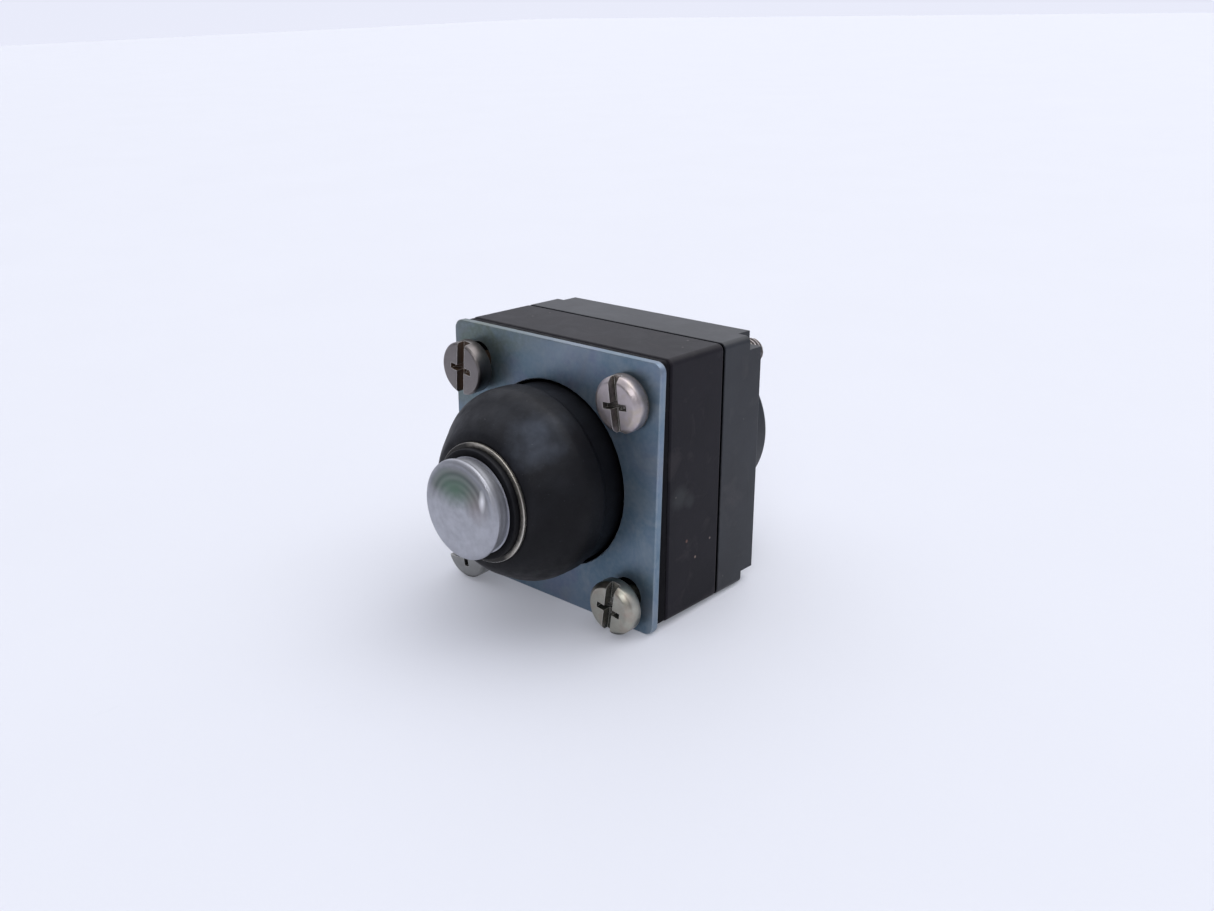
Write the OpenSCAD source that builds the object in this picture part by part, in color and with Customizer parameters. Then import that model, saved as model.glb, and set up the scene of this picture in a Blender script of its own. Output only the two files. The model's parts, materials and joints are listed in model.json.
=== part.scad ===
// Operating head of a heavy-duty position switch: a spring-returned end plunger in a rubber boot.
// Millimetres. X is across the head, +Y points from the plunger to the switch body, +Z is up.
// The origin is on the plunger axis, in the plane where the head's back skirt meets the switch body.

/* [Front plate] */
// Width of the square front plate
plate_w = 40; // [39.4:0.1:41]
// Height of the front plate
plate_h = 40.1; // [39.4:0.1:41]
// Thickness of the front plate
plate_t = 1.2; // [0.8:0.1:1.5]
// Corner radius of the front plate
plate_corner_r = 1.5; // [0.5:0.1:3]
// Diameter of the plate's hole for the boot
plate_hole_d = 28.1; // [27.6:0.1:29]

/* [Casing] */
// Width of both housings
body_w = 39.2; // [38.8:0.1:39.4]
// Height of both housings
body_h = 38.9; // [38.6:0.1:39.4]
// How far the housings sit above the middle of the plate
body_rise = 0.45; // [0:0.05:0.5]
// Radius of the long edges of the housings
body_corner_r = 1; // [0.5:0.1:2]
// Length of the front housing
front_len = 11.85; // [11.5:0.05:14]
// Length of the rear housing without its skirt
rear_len = 6; // [5:0.1:8]
// Height of the skirt that fits over the switch body
skirt_h = 2.9; // [2:0.1:4]
// Wall of the skirt
skirt_wall = 1.8; // [1.2:0.1:2]
// Width of the notch in each corner of the skirt
notch_w = 2.2; // [0.5:0.1:2.6]
// Height of the notch in each corner of the skirt
notch_h = 2; // [0.5:0.1:2.4]
// Thickness of the gasket between the housings
joint_t = 0.35; // [0.2:0.05:0.6]
// Depth of the groove that the gasket leaves between the housings
joint_inset = 0.4; // [0.1:0.1:0.8]

/* [Spigot] */
// Diameter of the spigot that enters the switch body
spigot_d = 26; // [25:0.1:26.4]
// Length of the spigot beyond the skirt
spigot_len = 12.4; // [11.5:0.1:14]
// Thickness of the O-ring's cord
o_ring_cord = 2; // [1.6:0.1:2.2]

/* [Screws] */
// Distance between the head screws, across and up
screw_span = 29.6; // [29:0.1:30]
// Thread diameter of the head screws
screw_d = 4; // [3.5:0.5:4]
// Length of the head screws under the head
screw_len = 29.5; // [29:0.1:32]
// Diameter of the thin shank that keeps the head screws captive
shank_d = 3.2; // [2.8:0.1:3.3]
// Diameter of a screw's head
screw_head_d = 8.1; // [7:0.1:8.5]
// Height of a screw's head
screw_head_h = 2.7; // [2:0.1:3.2]
// How far each screw is backed out: upper left, upper right, lower left, lower right
screw_proud = [1, 0.1, 1.6, 1.3]; // [0:0.1:2]
// Angle of each screw's slot from upright, in the same order
slot_angles = [8, -5, 82, 10]; // [-90:1:90]

/* [Boot] */
// Thickness of the boot's flange under the plate
flange_t = 1.8; // [1.2:0.1:2.4]
// Largest diameter of the boot
boot_d = 28.3; // [26:0.1:29]
// Wall of the boot
boot_wall = 1.6; // [1.2:0.1:2]
// Half angle of the boot's cone at its nose
boot_cone_angle = 42; // [38:1:45]
// Radius of the boot's shoulder
boot_shoulder_r = 5; // [4:0.1:5.5]
// Diameter of the boot where it passes through the plate
boot_neck_d = 27.2; // [25:0.1:27.2]

/* [Plunger] */
// How far the plunger's face stands in front of the plate
plunger_reach = 18.1; // [17.5:0.1:20]
// Travel of the plunger
travel = 5; // [2:0.5:6]
// Diameter of the plunger's cap
cap_d = 14.4; // [13.5:0.1:15]
// Height of the cap's head
cap_h = 3; // [2.5:0.1:3.2]
// Diameter of the plunger's rod
rod_d = 8; // [7:0.1:8.2]
// Radial gap of each running fit
running_gap = 0.03; // [0.02:0.01:0.1]

/* [Springs] */
// Wire of the return spring
spring_wire = 1.2; // [0.9:0.1:1.3]
// Turns of the return spring
spring_turns = 6.5; // [5:0.5:7]
// Wire of the pusher's spring
pusher_wire = 0.6; // [0.4:0.1:0.6]
// Turns of the pusher's spring
pusher_turns = 6.5; // [5:0.5:7]

/* [Hidden] */
$fn = 96;
// Gap that keeps two fixed neighbours from sharing space
seat_gap = 0.02;
// Gap round a part that passes through a hole without being held by it
loose_gap = 0.15;
// Overrun of a cutting tool past the face it cuts
over = 0.5;

// Planes along the plunger axis, from the front to the back
mount_y = 0;
skirt_floor_y = mount_y - skirt_h;
rear_front_y = skirt_floor_y - rear_len;
front_back_y = rear_front_y - joint_t;
front_face_y = front_back_y - front_len;
plate_back_y = front_face_y - flange_t;
plate_front_y = plate_back_y - plate_t;
spigot_end_y = mount_y + spigot_len;

// Plunger and its cap
cap_face_y = plate_front_y - plunger_reach;
cap_back_y = cap_face_y + cap_h;
cap_hub_len = 3.2;
cap_hub_end_y = cap_back_y + cap_hub_len;
cap_dome = 0.15;
cap_edge_r = 0.8;
rod_r = rod_d / 2;
stud_r = 2.5;
stud_len = 4.6;
clamp_ring_t = 0.5;
clamp_ring_y = plate_front_y - 14.1;
clamp_floor_r = 7;
clamp_ring_r = 8.65;

// Guide, wiper and stop in the front housing
collar_r = 8.5;
collar_front_y = plate_front_y - 3;
retainer_t = 0.6;
wiper_t = 1.4;
bush_r = 6;
bush_flange_r = 7.5;
bush_flange_t = 1;
stop_r = 8;
stop_t = 0.8;
// Room round the rod in the retainer and the stop washer
rod_room = 0.4;
chamber_r = 9;
wiper_y = collar_front_y + retainer_t;
bush_y = wiper_y + wiper_t;
bush_back_y = plate_front_y + 9.5;
stop_back_y = bush_back_y + stop_t;
chamber_y = stop_back_y + seat_gap;

// Rod collar, spring seat and circlip
rod_collar_r = 5.4;
rod_collar_t = 1;
rod_collar_y = stop_back_y + seat_gap;
seat_y = rod_collar_y + rod_collar_t;
seat_t = 1.5;
seat_r = 8.5;
seat_rim_h = 0.35;
return_spring_r = 7.2;
circlip_t = 0.6;
circlip_y = seat_y + seat_t + seat_gap;
circlip_r = 5.2;
circlip_gap = 4.6;
groove_r = 3.4;
rod_step_y = circlip_y + circlip_t + 0.9;
rod_tail_r = 3;
rod_end_y = rod_step_y + 3.6;

// Spigot, its inner web and the pusher
spigot_r = spigot_d / 2;
spigot_root_r = spigot_r + 0.2;
web_y = mount_y + 3.9;
web_t = 2;
web_hole_r = 6;
guide_bore_r = 10;
guide_t = 2.5;
guide_y = web_y + web_t;
ring_groove_y = guide_y + guide_t + 0.1;
ring_groove_t = 1.1;
ring_groove_r = 10.6;
guide_clip_r = 8.4;
guide_clip_gap = 5;
hub_len = 1.4;
pusher_r = 2.5;
pusher_flange_r = 5;
pusher_flange_t = 1.5;
pusher_spring_r = 3.9;
pusher_reach = 1.5;
pusher_y = rod_end_y + seat_gap;
pusher_back_y = pusher_y + pusher_flange_t;
pusher_end_y = spigot_end_y + pusher_reach;
o_ring_y = mount_y + 3.1;
o_ring_r = o_ring_cord / 2;
o_groove_r = spigot_r - o_ring_cord;
o_groove_gap = 0.2;

// Screws, dowels and gaskets
screw_r = screw_d / 2;
screw_hole_r = screw_r + 0.5;
shank_r = shank_d / 2;
shank_len = 25.8;
captive_hole_r = shank_r + 0.35;
// Relief that keeps the skirt's wall clear of the screws' threads
relief_r = screw_hole_r + 0.1;
screw_head_edge = 0.35;
slot_w = 1.3;
slot_depth = 1.3;
cross_w = 1;
cross_len = 3.8;
dowel_r = 1.5;
dowel_len = 5.6;
dowel_z = 15.3;
small_screw_x = 15.4;
small_screw_r = 1.25;
small_screw_len = 11.5;
small_head_r = 2.1;
mount_gasket_t = 1;
gasket_gap = 0.3;

// Coil body: pitch of its closed turns over its wire, stations per turn and sides of the wire
closed_pitch = 1.03;
coil_steps = 20;
wire_sides = 8;

// ---- Shapes that repeat ----

// Solid disc between two planes on the plunger axis
module disc(y0, y1, r) {
    rotate([-90, 0, 0])
        translate([0, 0, y0])
            cylinder(h = y1 - y0, r = r);
}

// Hollow disc between two planes on the plunger axis
module ring(y0, y1, r_in, r_out) {
    difference() {
        disc(y0, y1, r_out);
        disc(y0 - over, y1 + over, r_in);
    }
}

// Turned shape on the plunger axis from [radius, y] points
module turned(points) {
    rotate([-90, 0, 0])
        rotate_extrude()
            polygon(points);
}

// Flat outline with round corners, w across and h up
module round_rect(w, h, r) {
    square([w - 2 * r, h], center = true);
    square([w, h - 2 * r], center = true);
    for (x = [-1, 1], z = [-1, 1])
        translate([x * (w / 2 - r), z * (h / 2 - r)])
            circle(r = r, $fn = 48);
}

// Block with round long edges between two planes, raised by rise
module block(y0, y1, w, h, r, rise = 0) {
    translate([0, 0, rise])
        rotate([-90, 0, 0])
            translate([0, 0, y0])
                linear_extrude(height = y1 - y0)
                    round_rect(w, h, r);
}

// Puts its children at each head screw; $i counts upper left, upper right, lower left, lower right
module at_screws() {
    for (i = [0:3]) {
        $i = i;
        x = i % 2 == 0 ? -1 : 1;
        z = i < 2 ? 1 : -1;
        translate([x * screw_span / 2, 0, z * screw_span / 2])
            children();
    }
}

// Puts its children at the two dowels above and below the plunger
module at_dowels() {
    for (z = [-1, 1])
        translate([0, 0, body_rise + z * dowel_z])
            children();
}

// Puts its children at the two small screws beside the spigot
module at_small_screws() {
    for (x = [-1, 1])
        translate([x * small_screw_x, 0, body_rise])
            children();
}

// Round clip with a gap at the bottom, between two planes
module open_clip(y0, y1, r_in, r_out, gap) {
    difference() {
        ring(y0, y1, r_in, r_out);
        translate([-gap / 2, y0 - over, -r_out - over])
            cube([gap, y1 - y0 + 2 * over, r_out + over - r_in / 2]);
    }
}

// Height of a coil's wire at turn t: closed end turns, even pitch between them
function coil_rise(t, turns, len, wire) =
    let (closed = wire * closed_pitch, pitch = (len - wire - 2 * closed) / (turns - 2))
    t < 1 ? t * closed
        : t > turns - 1 ? closed + (turns - 2) * pitch + (t - turns + 1) * closed
        : closed + (t - 1) * pitch;

// Round-wire compression spring between two planes
module coil(y0, len, r, wire, turns) {
    last = round(turns * coil_steps);
    points = [
        for (i = [0:last], s = [0:wire_sides - 1])
            let (a = 360 * i / coil_steps, b = 360 * s / wire_sides)
            let (rr = r + wire / 2 * cos(b))
            let (rise = wire / 2 + coil_rise(i / coil_steps, turns, len, wire))
            [rr * cos(a), y0 + rise + wire / 2 * sin(b), rr * sin(a)]
    ];
    sides = [
        for (i = [0:last - 1], s = [0:wire_sides - 1])
            let (n = (s + 1) % wire_sides, here = i * wire_sides, next = here + wire_sides)
            [here + s, here + n, next + n, next + s]
    ];
    first_cap = [for (s = [wire_sides - 1:-1:0]) s];
    last_cap = [for (s = [0:wire_sides - 1]) last * wire_sides + s];
    polyhedron(points = points, faces = concat([first_cap, last_cap], sides), convexity = 10);
}

// ---- Fixed casing ----

module front_plate() {
    color("slategray")
        difference() {
            block(plate_front_y, plate_back_y, plate_w, plate_h, plate_corner_r);
            disc(plate_front_y - over, plate_back_y + over, plate_hole_d / 2);
            at_screws() disc(plate_front_y - over, plate_back_y + over, screw_hole_r);
        }
}

module front_housing() {
    color([0.19, 0.17, 0.18])
        difference() {
            union() {
                block(front_face_y, front_back_y, body_w, body_h, body_corner_r, body_rise);
                disc(collar_front_y, front_face_y + over, collar_r);
            }
            disc(collar_front_y - over, bush_back_y - bush_flange_t, bush_r + seat_gap);
            disc(bush_back_y - bush_flange_t - seat_gap, bush_back_y, bush_flange_r + seat_gap);
            disc(bush_back_y - seat_gap, chamber_y, stop_r + seat_gap);
            disc(chamber_y - seat_gap, front_back_y + over, chamber_r);
            at_screws() disc(front_face_y - over, front_back_y + over, screw_hole_r);
            at_dowels()
                disc(front_back_y - dowel_len / 2 - seat_gap, front_back_y + over, dowel_r + seat_gap);
            at_small_screws()
                disc(skirt_floor_y - small_screw_len - over, front_back_y + over,
                    small_screw_r + seat_gap);
        }
}

module skirt_notches() {
    for (x = [-1, 1], z = [-1, 1])
        translate([x * body_w / 2, mount_y - skirt_h / 2 + over, body_rise + z * body_h / 2])
            cube([2 * notch_w, skirt_h + 2 * over, 2 * notch_h], center = true);
}

module rear_housing() {
    inner_w = body_w - 2 * skirt_wall;
    inner_h = body_h - 2 * skirt_wall;
    end_chamfer = 0.6;
    root_relief = 0.2;
    color([0.24, 0.26, 0.29])
        difference() {
            union() {
                difference() {
                    block(rear_front_y, mount_y, body_w, body_h, body_corner_r, body_rise);
                    block(skirt_floor_y, mount_y + over, inner_w, inner_h, body_corner_r / 2, body_rise);
                    skirt_notches();
                }
                turned([
                    [0, skirt_floor_y - over],
                    [spigot_root_r, skirt_floor_y - over],
                    [spigot_root_r, mount_y - 2 * root_relief],
                    [spigot_r, mount_y - root_relief],
                    [spigot_r, spigot_end_y - end_chamfer],
                    [spigot_r - end_chamfer, spigot_end_y],
                    [0, spigot_end_y]
                ]);
            }
            disc(rear_front_y - over, web_y, chamber_r);
            disc(web_y - over, guide_y + over, web_hole_r);
            disc(guide_y, spigot_end_y + over, guide_bore_r);
            disc(ring_groove_y, ring_groove_y + ring_groove_t, ring_groove_r);
            ring(o_ring_y, o_ring_y + o_ring_cord + 2 * o_groove_gap, o_groove_r, spigot_r + over);
            at_screws() {
                disc(rear_front_y - over, mount_y + over, captive_hole_r);
                disc(skirt_floor_y, mount_y + over, relief_r);
            }
            at_dowels() disc(rear_front_y - over, rear_front_y + dowel_len / 2, dowel_r + seat_gap);
            at_small_screws() {
                disc(rear_front_y - over, skirt_floor_y + over, small_screw_r + loose_gap);
                small_head(small_head_r + seat_gap, over);
            }
        }
}

module housing_gasket() {
    color("black")
        difference() {
            block(front_back_y, rear_front_y, body_w - 2 * joint_inset, body_h - 2 * joint_inset,
                body_corner_r - joint_inset, body_rise);
            disc(front_back_y - over, rear_front_y + over, chamber_r + loose_gap);
            at_screws() disc(front_back_y - over, rear_front_y + over, screw_hole_r);
            at_dowels() disc(front_back_y - over, rear_front_y + over, dowel_r + loose_gap);
            at_small_screws() disc(front_back_y - over, rear_front_y + over, small_screw_r + loose_gap);
        }
}

module mounting_gasket() {
    w = body_w - 2 * skirt_wall - 2 * gasket_gap;
    h = body_h - 2 * skirt_wall - 2 * gasket_gap;
    color("black")
        difference() {
            block(skirt_floor_y, skirt_floor_y + mount_gasket_t, w, h, body_corner_r / 2, body_rise);
            disc(skirt_floor_y - over, mount_y, spigot_root_r + gasket_gap);
            at_screws() disc(skirt_floor_y - over, mount_y, screw_hole_r);
        }
}

module spigot_o_ring() {
    color("black")
        rotate([-90, 0, 0])
            rotate_extrude()
                translate([spigot_r - o_ring_r - seat_gap, o_ring_y + o_ring_r + o_groove_gap])
                    circle(r = o_ring_r - seat_gap, $fn = 32);
}

module locating_pins() {
    color("silver")
        at_dowels() disc(front_back_y - dowel_len / 2, front_back_y + dowel_len / 2, dowel_r);
}

// Countersunk head whose wide end lies in the skirt's floor, run on by extra
module small_head(r, extra) {
    cone = r - small_screw_r;
    turned([
        [0, skirt_floor_y - cone],
        [r - cone, skirt_floor_y - cone],
        [r, skirt_floor_y],
        [r, skirt_floor_y + extra],
        [0, skirt_floor_y + extra]
    ]);
}

module housing_screws() {
    drive_w = 0.6;
    drive_depth = 0.5;
    head_back_y = skirt_floor_y - seat_gap;
    color("silver")
        at_small_screws()
            difference() {
                union() {
                    translate([0, -seat_gap, 0]) small_head(small_head_r - seat_gap, 0);
                    disc(skirt_floor_y - small_screw_len, head_back_y - drive_depth, small_screw_r);
                }
                translate([-drive_w / 2, head_back_y - drive_depth, -small_head_r])
                    cube([drive_w, drive_depth + over, 2 * small_head_r]);
            }
}

// One head screw on the Y axis: underside of the head at y = 0, shank to the back
module head_screw(slot_angle) {
    head_r = screw_head_d / 2;
    tip_lead = 0.5;
    difference() {
        turned([
            [0, -screw_head_h],
            [head_r - screw_head_edge, -screw_head_h],
            [head_r, -screw_head_h + screw_head_edge],
            [head_r, -screw_head_edge / 2],
            [head_r - screw_head_edge / 2, 0],
            [shank_r, 0],
            [shank_r, shank_len - screw_r + shank_r],
            [screw_r, shank_len],
            [screw_r, screw_len - tip_lead],
            [screw_r - tip_lead, screw_len],
            [0, screw_len]
        ]);
        rotate([0, slot_angle, 0]) {
            translate([-slot_w / 2, -screw_head_h - over, -head_r - over])
                cube([slot_w, slot_depth + over, 2 * head_r + 2 * over]);
            translate([-cross_len / 2, -screw_head_h - over, -cross_w / 2])
                cube([cross_len, slot_depth + over, cross_w]);
        }
    }
}

module head_screws() {
    color("rosybrown")
        at_screws()
            translate([0, plate_front_y - screw_proud[$i], 0])
                head_screw(slot_angles[$i]);
}

// ---- Boot ----

// Arc as [radius, y] points about a centre on the radius line; angle 0 points outward, 90 forward
function arc(r, y, radius, a0, a1, steps) = [
    for (i = [0:steps])
        let (a = a0 + (a1 - a0) * i / steps)
        [r + radius * cos(a), y - radius * sin(a)]
];

module boot() {
    boot_r = boot_d / 2;
    neck_r = boot_neck_d / 2;
    shoulder_y = plate_front_y - 6.4;
    shoulder_rr = boot_r - boot_shoulder_r;
    heel_r = 1;
    heel_end = -60;
    heel_y = plate_front_y - 4.3;
    nose_y = cap_back_y;
    nose_r = 8.1;
    ring_front_y = clamp_ring_y - seat_gap;
    ring_back_y = clamp_ring_y + clamp_ring_t + seat_gap;
    // The cone leaves the shoulder's arc along its tangent
    cone_r = shoulder_rr + boot_shoulder_r * cos(boot_cone_angle);
    cone_y = shoulder_y - boot_shoulder_r * sin(boot_cone_angle);
    cone_end_r = cone_r - (cone_y - ring_back_y) * tan(boot_cone_angle);
    inner_r = boot_shoulder_r - boot_wall;
    inner_cone_r = shoulder_rr + inner_r * cos(boot_cone_angle);
    inner_cone_y = shoulder_y - inner_r * sin(boot_cone_angle);
    inner_end_y = cap_hub_end_y;
    inner_end_r = inner_cone_r - (inner_cone_y - inner_end_y) * tan(boot_cone_angle);
    hub_r = rod_r + seat_gap;
    flange_inset = 0.1;
    color([0.13, 0.13, 0.14])
        difference() {
            union() {
                turned(concat(
                    [
                        [hub_r, nose_y + seat_gap],
                        [nose_r, nose_y + seat_gap],
                        [nose_r, ring_front_y],
                        [clamp_floor_r, ring_front_y],
                        [clamp_floor_r, ring_back_y],
                        [cone_end_r, ring_back_y]
                    ],
                    arc(shoulder_rr, shoulder_y, boot_shoulder_r, boot_cone_angle, 0, 12),
                    arc(boot_r - heel_r, heel_y, heel_r, 0, heel_end, 6),
                    [
                        [neck_r, heel_y + 1.2 * heel_r],
                        [neck_r, front_face_y - seat_gap],
                        [neck_r - boot_wall, front_face_y - seat_gap],
                        [neck_r - boot_wall, heel_y + heel_r],
                        [boot_r - boot_wall, heel_y]
                    ],
                    arc(shoulder_rr, shoulder_y, inner_r, 0, boot_cone_angle, 10),
                    [[inner_end_r, inner_end_y], [hub_r, inner_end_y]]
                ));
                difference() {
                    block(plate_back_y + seat_gap, front_face_y - seat_gap,
                        body_w - 2 * flange_inset, body_h - 2 * flange_inset, body_corner_r, body_rise);
                    disc(plate_back_y - over, front_face_y + over, neck_r - boot_wall);
                }
            }
            at_screws() disc(plate_back_y - over, front_face_y + over, shank_r + seat_gap);
        }
}

module boot_clamp_ring() {
    color("tan")
        ring(clamp_ring_y, clamp_ring_y + clamp_ring_t, clamp_floor_r + seat_gap, clamp_ring_r);
}

// ---- Plunger ----

module plunger_cap() {
    cap_r = cap_d / 2;
    flat_r = cap_r - cap_edge_r;
    dome_r = (flat_r * flat_r + cap_dome * cap_dome) / (2 * cap_dome);
    steps = 8;
    edge_y = cap_face_y + cap_dome + cap_edge_r;
    back_edge = 0.15;
    bore_room = 0.4;
    color("lightgray")
        turned(concat(
            [
                for (i = [0:steps])
                    let (r = flat_r * i / steps)
                    [r, cap_face_y + dome_r - sqrt(dome_r * dome_r - r * r)]
            ],
            [for (i = [1:5]) [flat_r + cap_edge_r * sin(18 * i), edge_y - cap_edge_r * cos(18 * i)]],
            [
                [cap_r, cap_back_y - back_edge],
                [cap_r - back_edge, cap_back_y],
                [rod_r, cap_back_y],
                [rod_r, cap_hub_end_y],
                [stud_r + seat_gap, cap_hub_end_y],
                [stud_r + seat_gap, cap_hub_end_y - stud_len - bore_room],
                [0, cap_hub_end_y - stud_len - bore_room]
            ]
        ));
}

module plunger_rod() {
    lead = 0.4;
    color("silver")
        turned([
            [0, cap_hub_end_y - stud_len],
            [stud_r - lead, cap_hub_end_y - stud_len],
            [stud_r, cap_hub_end_y - stud_len + lead],
            [stud_r, cap_hub_end_y + seat_gap],
            [rod_r, cap_hub_end_y + seat_gap],
            [rod_r, rod_collar_y],
            [rod_collar_r, rod_collar_y],
            [rod_collar_r, seat_y],
            [rod_r, seat_y],
            [rod_r, circlip_y],
            [groove_r, circlip_y],
            [groove_r, circlip_y + circlip_t + seat_gap],
            [rod_r, circlip_y + circlip_t + seat_gap],
            [rod_r, rod_step_y],
            [rod_tail_r, rod_step_y],
            [rod_tail_r, rod_end_y - lead],
            [rod_tail_r - lead, rod_end_y],
            [0, rod_end_y]
        ]);
}

module spring_seat() {
    rim_w = 0.3;
    hub_w = 1.6;
    color("goldenrod")
        turned([
            [rod_r + seat_gap, seat_y + seat_gap],
            [seat_r - rim_w, seat_y + seat_gap],
            [seat_r, seat_y + rim_w],
            [seat_r, seat_y + seat_t],
            [seat_r - rim_w, seat_y + seat_t],
            [seat_r - rim_w, seat_y + seat_t - seat_rim_h],
            [rod_r + hub_w, seat_y + seat_t - seat_rim_h],
            [rod_r + hub_w, seat_y + seat_t],
            [rod_r + seat_gap, seat_y + seat_t]
        ]);
}

module rod_circlip() {
    color("dimgray")
        open_clip(circlip_y + seat_gap / 2, circlip_y + circlip_t, groove_r + seat_gap,
            circlip_r, circlip_gap);
}

module return_spring() {
    seat_floor_y = seat_y + seat_t - seat_rim_h;
    color("darkgray")
        coil(seat_floor_y + seat_gap, web_y - seat_floor_y - 2 * seat_gap, return_spring_r,
            spring_wire, spring_turns);
}

// ---- Guide parts in the front housing ----

module guide_bush() {
    color("peru")
        difference() {
            union() {
                disc(bush_y + seat_gap, bush_back_y - seat_gap, bush_r);
                disc(bush_back_y - bush_flange_t, bush_back_y - seat_gap, bush_flange_r);
            }
            disc(bush_y - over, bush_back_y + over, rod_r + running_gap);
        }
}

module wiper_seal() {
    lip = 0.8;
    color("black")
        turned([
            [rod_r + running_gap, wiper_y + seat_gap],
            [rod_r + lip / 2, wiper_y + seat_gap],
            [rod_r + lip, wiper_y + lip / 2],
            [bush_r - seat_gap, wiper_y + lip / 2],
            [bush_r - seat_gap, bush_y],
            [rod_r + lip, bush_y],
            [rod_r + running_gap, wiper_y + lip]
        ]);
}

module seal_retainer() {
    color("silver")
        ring(collar_front_y, wiper_y, rod_r + rod_room, bush_r);
}

module stop_washer() {
    color("ivory")
        ring(bush_back_y, stop_back_y, rod_r + rod_room, stop_r);
}

// ---- Transmission to the switch body ----

module pusher() {
    lead = 0.6;
    color("whitesmoke")
        turned([
            [0, pusher_y],
            [pusher_flange_r - lead / 2, pusher_y],
            [pusher_flange_r, pusher_y + lead / 2],
            [pusher_flange_r, pusher_back_y],
            [pusher_r, pusher_back_y],
            [pusher_r, pusher_end_y - lead],
            [pusher_r - lead, pusher_end_y],
            [0, pusher_end_y]
        ]);
}

module pusher_spring() {
    hub_front_y = guide_y - hub_len;
    color("darkgray")
        coil(pusher_back_y + seat_gap, hub_front_y - pusher_back_y - 2 * seat_gap, pusher_spring_r,
            pusher_wire, pusher_turns);
}

module pusher_guide() {
    color("khaki")
        difference() {
            union() {
                disc(guide_y - hub_len, guide_y + guide_t, web_hole_r - seat_gap);
                disc(guide_y + seat_gap, guide_y + guide_t, guide_bore_r - seat_gap);
            }
            disc(guide_y - hub_len - over, guide_y + guide_t + over, pusher_r + running_gap);
        }
}

module guide_circlip() {
    color("dimgray")
        open_clip(ring_groove_y + seat_gap, ring_groove_y + ring_groove_t - seat_gap, guide_clip_r,
            ring_groove_r - seat_gap, guide_clip_gap);
}

front_plate();
boot();
boot_clamp_ring();
plunger_cap();
plunger_rod();
spring_seat();
rod_circlip();
return_spring();
front_housing();
rear_housing();
housing_gasket();
guide_bush();
wiper_seal();
seal_retainer();
stop_washer();
locating_pins();
housing_screws();
head_screws();
mounting_gasket();
spigot_o_ring();
pusher();
pusher_spring();
pusher_guide();
guide_circlip();
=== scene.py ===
"""Looks of a booted plunger head for a position switch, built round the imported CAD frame.

Lengths in this script are millimetres in the row's frame, and MM turns them into Blender's metres.
"""
import json
import math

import bpy
import bmesh
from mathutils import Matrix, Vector, geometry, noise


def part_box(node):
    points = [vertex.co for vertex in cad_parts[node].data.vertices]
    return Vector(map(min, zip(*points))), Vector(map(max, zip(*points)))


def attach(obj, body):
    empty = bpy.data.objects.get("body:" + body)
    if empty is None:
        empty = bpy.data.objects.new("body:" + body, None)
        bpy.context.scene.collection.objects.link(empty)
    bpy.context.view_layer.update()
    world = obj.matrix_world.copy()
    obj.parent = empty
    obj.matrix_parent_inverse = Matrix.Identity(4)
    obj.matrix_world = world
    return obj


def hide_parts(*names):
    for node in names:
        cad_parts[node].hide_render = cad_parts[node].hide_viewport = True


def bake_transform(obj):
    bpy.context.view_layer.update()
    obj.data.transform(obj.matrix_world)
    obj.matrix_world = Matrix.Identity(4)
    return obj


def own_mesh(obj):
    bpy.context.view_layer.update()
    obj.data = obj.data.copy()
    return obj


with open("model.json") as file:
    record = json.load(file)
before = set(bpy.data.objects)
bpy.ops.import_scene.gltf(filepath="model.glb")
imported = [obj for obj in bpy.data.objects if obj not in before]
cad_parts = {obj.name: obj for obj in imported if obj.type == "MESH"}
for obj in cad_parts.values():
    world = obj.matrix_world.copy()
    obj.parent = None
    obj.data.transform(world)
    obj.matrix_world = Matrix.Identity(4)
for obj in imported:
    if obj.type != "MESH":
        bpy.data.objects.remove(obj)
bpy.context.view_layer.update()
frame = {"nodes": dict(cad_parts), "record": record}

MM = 0.001
SHARP_ANGLE = math.radians(38)


# ---- Sizes taken from the frame ----

def span(node):
    """Lowest and highest corner of a CAD node, in millimetres."""
    low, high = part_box(node)
    return low / MM, high / MM


def mount(name):
    """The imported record's mount of that name."""
    return next(m for m in frame["record"]["mounts"] if m["name"] == name)


plate_low, plate_high = span("front_plate")
body_low, body_high = span("housing_gasket")
rear_low, rear_high = span("rear_housing")
cap_low, cap_high = span("plunger_cap")
ring_low, ring_high = span("boot_clamp_ring")
gasket_low, gasket_high = span("mounting_gasket")
boot_low, boot_high = span("boot")

PLATE_FRONT = plate_low.y
PLATE_BACK = plate_high.y
FACE_Y = boot_high.y
JOINT_FRONT = body_low.y
JOINT_BACK = body_high.y
SKIRT_FLOOR = gasket_low.y
BODY_W = rear_high.x - rear_low.x
BODY_H = rear_high.z - rear_low.z
BODY_Z = (rear_high.z + rear_low.z) / 2
SPIGOT_R = mount("spigot")["dims"]["r_mm"]
SPIGOT_END = rear_high.y
STUDS = mount("head_screw_studs")
SCREW_SPAN = STUDS["dims"]["spacing_x_mm"]
SCREW_Z = STUDS["pos_m"][2] / MM
THREAD_R = STUDS["dims"]["stud_r_mm"]

CORNERS = {"upper_left": (-1, 1), "upper_right": (1, 1), "lower_left": (-1, -1), "lower_right": (1, -1)}
BODY_CORNER = 1.0
CHAMBER_R = 9.0
PLATE_HOLE_R = 14.05
SCREW_HOLE_R = 2.5
SKIRT_RELIEF = 0.15
SHANK_R = 1.6
FLANGE_HOLE_GAP = 0.08
CAPTIVE_HOLE_R = 1.95
SCREW_HEAD_H = 2.7
SCREW_HEAD_R = 4.05
SLOT_W = 1.5
SLOT_DEPTH = 1.35

# Departures from the nominal CAD, matched to the photo
EDGE_LEAN = 0.02
SCREW_TILT = math.radians(3.3)
SCREW_PIVOT_Y = -10.0
NOSE_SAG = 0.6
SAG_START_Y = -31.0
SAG_LEN = 6.5


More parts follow.
